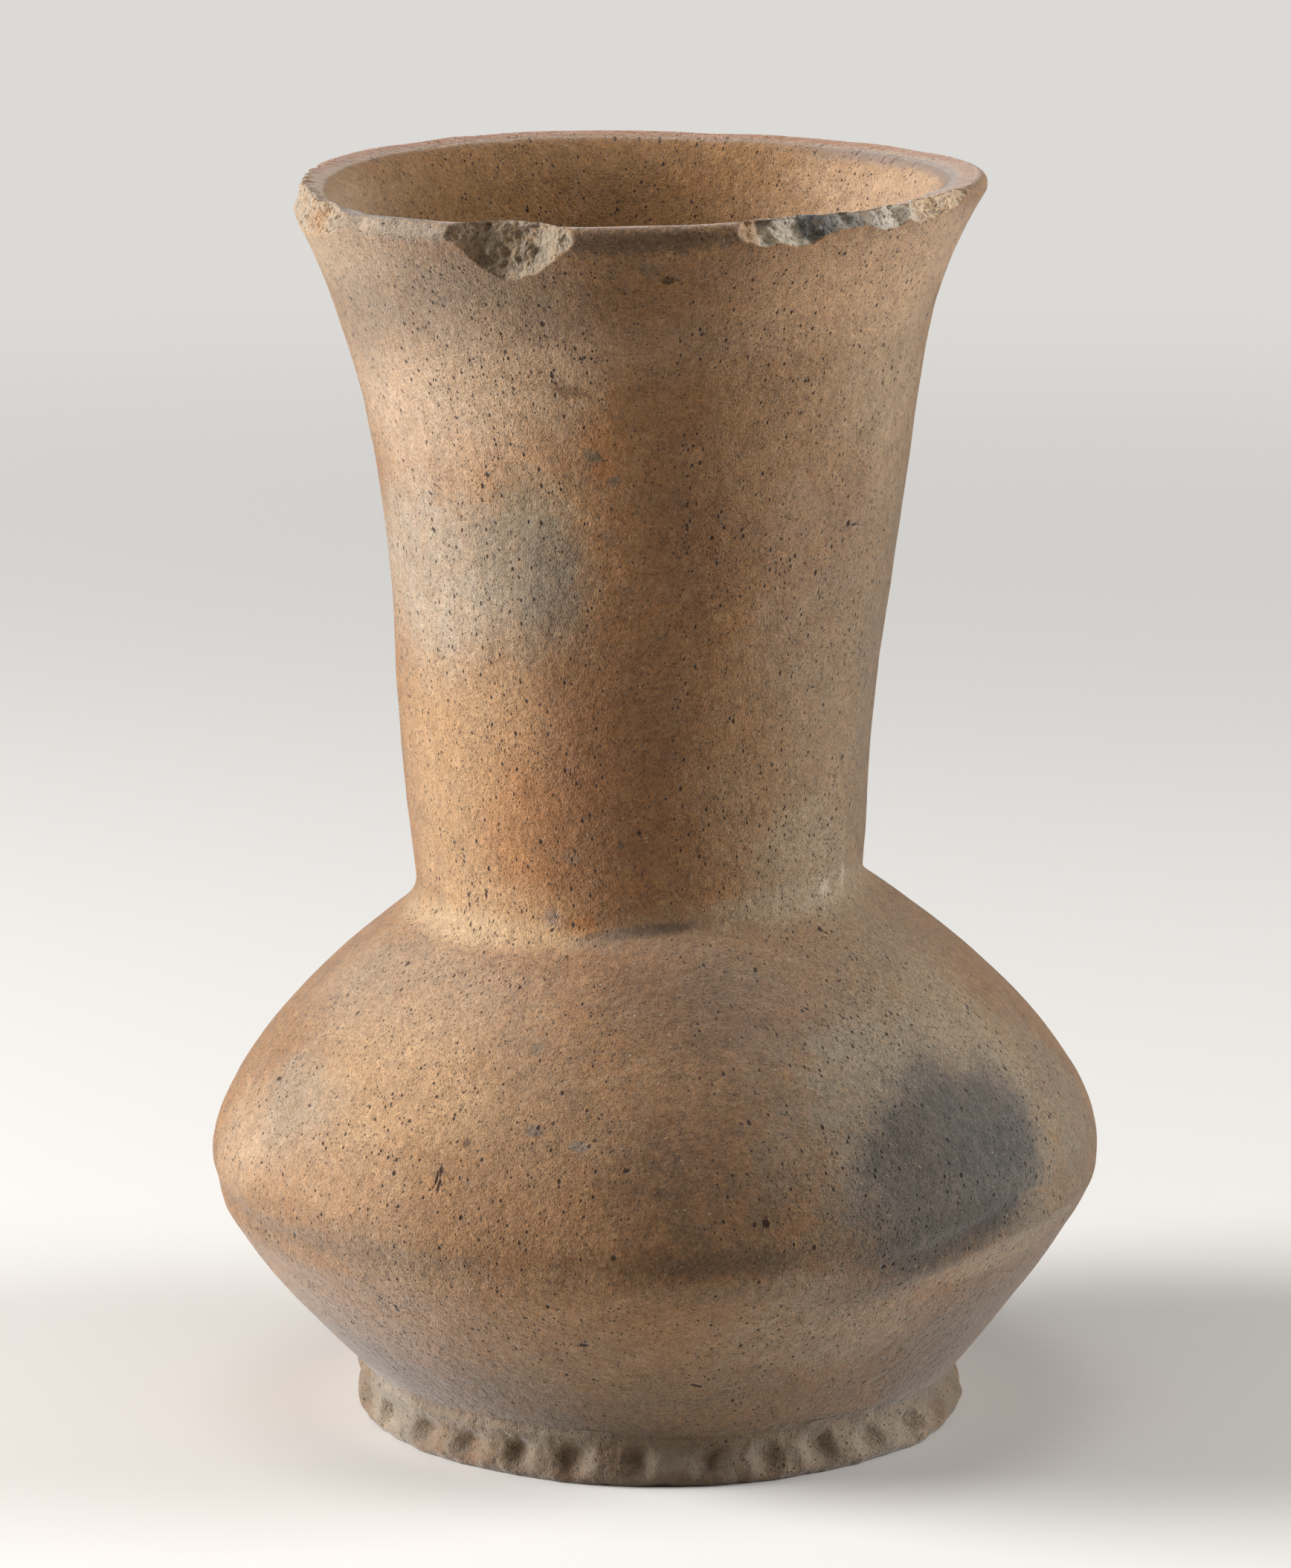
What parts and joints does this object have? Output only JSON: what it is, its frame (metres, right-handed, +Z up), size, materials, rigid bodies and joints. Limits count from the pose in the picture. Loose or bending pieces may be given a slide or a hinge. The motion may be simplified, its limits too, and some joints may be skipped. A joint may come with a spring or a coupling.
{
  "type": "carinated pottery bottle",
  "caption": "Hand-built carinated pottery bottle: keeled round body on a notched foot ring, under a tall wide neck that flares to a chipped lip.",
  "frame": {"origin": "on the ground under the middle of the body, at the centre of the foot ring", "axes": "+Z up through the mouth; the front seen in the picture faces -Y; +X to the right of that view"},
  "size_m": [0.1532, 0.1536, 0.2164],
  "materials": {
    "body_clay": "smoothed unglazed fired clay, tan to brown with grey smoke clouds and fine dark pits",
    "neck_clay": "smoothed unglazed fired clay, tan to orange with a pale grey patch and fine dark pits",
    "lip_clay": "smoked lip with rough pale and grey fracture faces where flakes are lost",
    "foot_clay": "dusty pale fired clay, worn on the ridges between the notches"
  },
  "bodies": {
    "root": {"foot_ring": "foot_clay", "foot_luting": "foot_clay", "base_dish": "body_clay", "lower_wall_coil_1": "body_clay", "lower_wall_coil_2": "body_clay", "keel_coil": "body_clay", "shoulder_coil_1": "body_clay", "shoulder_coil_2": "body_clay", "shoulder_coil_3": "body_clay", "neck_luting": "neck_clay", "neck_coil_1": "neck_clay", "neck_coil_2": "neck_clay", "neck_coil_3": "neck_clay", "neck_coil_4": "neck_clay", "neck_coil_5": "neck_clay", "lip_coil": "lip_clay"}
  },
  "joints": []
}
